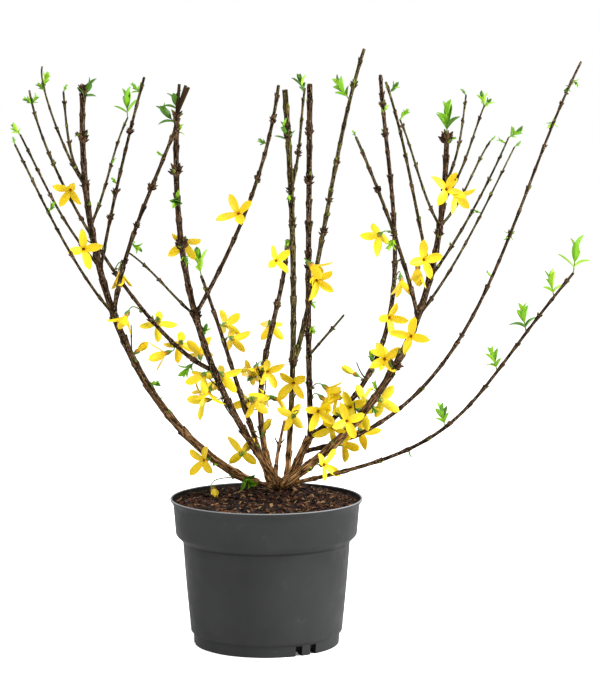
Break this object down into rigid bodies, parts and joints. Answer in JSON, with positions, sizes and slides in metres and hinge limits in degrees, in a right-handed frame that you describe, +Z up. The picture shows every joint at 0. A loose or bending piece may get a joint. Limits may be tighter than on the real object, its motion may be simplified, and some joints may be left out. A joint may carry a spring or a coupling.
{
  "type": "potted forsythia shrub",
  "caption": "Forsythia shrub with bare arching boughs, open yellow blossom and young shoots, growing in a round grey nursery pot filled with bark mix.",
  "frame": {"origin": "centre of the pot's flat underside", "axes": "+Z up; -Y is the front, the side that faces the viewer; +X is to the viewer's right"},
  "size_m": [0.5763, 0.4018, 0.5896],
  "materials": {
    "pot_plastic": "dark grey moulded plastic, satin, with faint scuffs",
    "potting_mix": "moist bark and peat mix, dull and crumbly",
    "bark": "young bark, dull brown with pale lenticels, tan and ridged near the root crown",
    "flowering_top": "thin brown twigs with clear yellow blossom and fresh green shoots",
    "petal": "thin soft petals, clear yellow with a deeper throat",
    "young_leaf": "fresh green young leaf, slightly glossy"
  },
  "bodies": {
    "root": {"pot": "pot_plastic", "potting_mix": "potting_mix", "root_crown": "bark", "left_arch_bough": "bark", "left_inner_bough": "bark", "left_thin_bough": "bark", "back_bough": "bark", "centre_bough": "bark", "fork_bough": "bark", "pale_stub_bough": "bark", "right_bough": "bark", "right_back_bough": "bark", "far_right_bough": "bark", "low_right_bough": "bark", "left_arch_top": "flowering_top", "left_inner_top": "flowering_top", "left_thin_top": "flowering_top", "long_left_top": "flowering_top", "inner_front_top": "flowering_top", "back_top": "flowering_top", "centre_top": "flowering_top", "centre_back_top": "flowering_top", "centre_front_top": "flowering_top", "right_top": "flowering_top", "right_front_twig_top": "flowering_top", "right_outer_back_top": "flowering_top", "right_back_top": "flowering_top", "far_right_top": "flowering_top", "low_right_top": "flowering_top"}
  },
  "joints": []
}
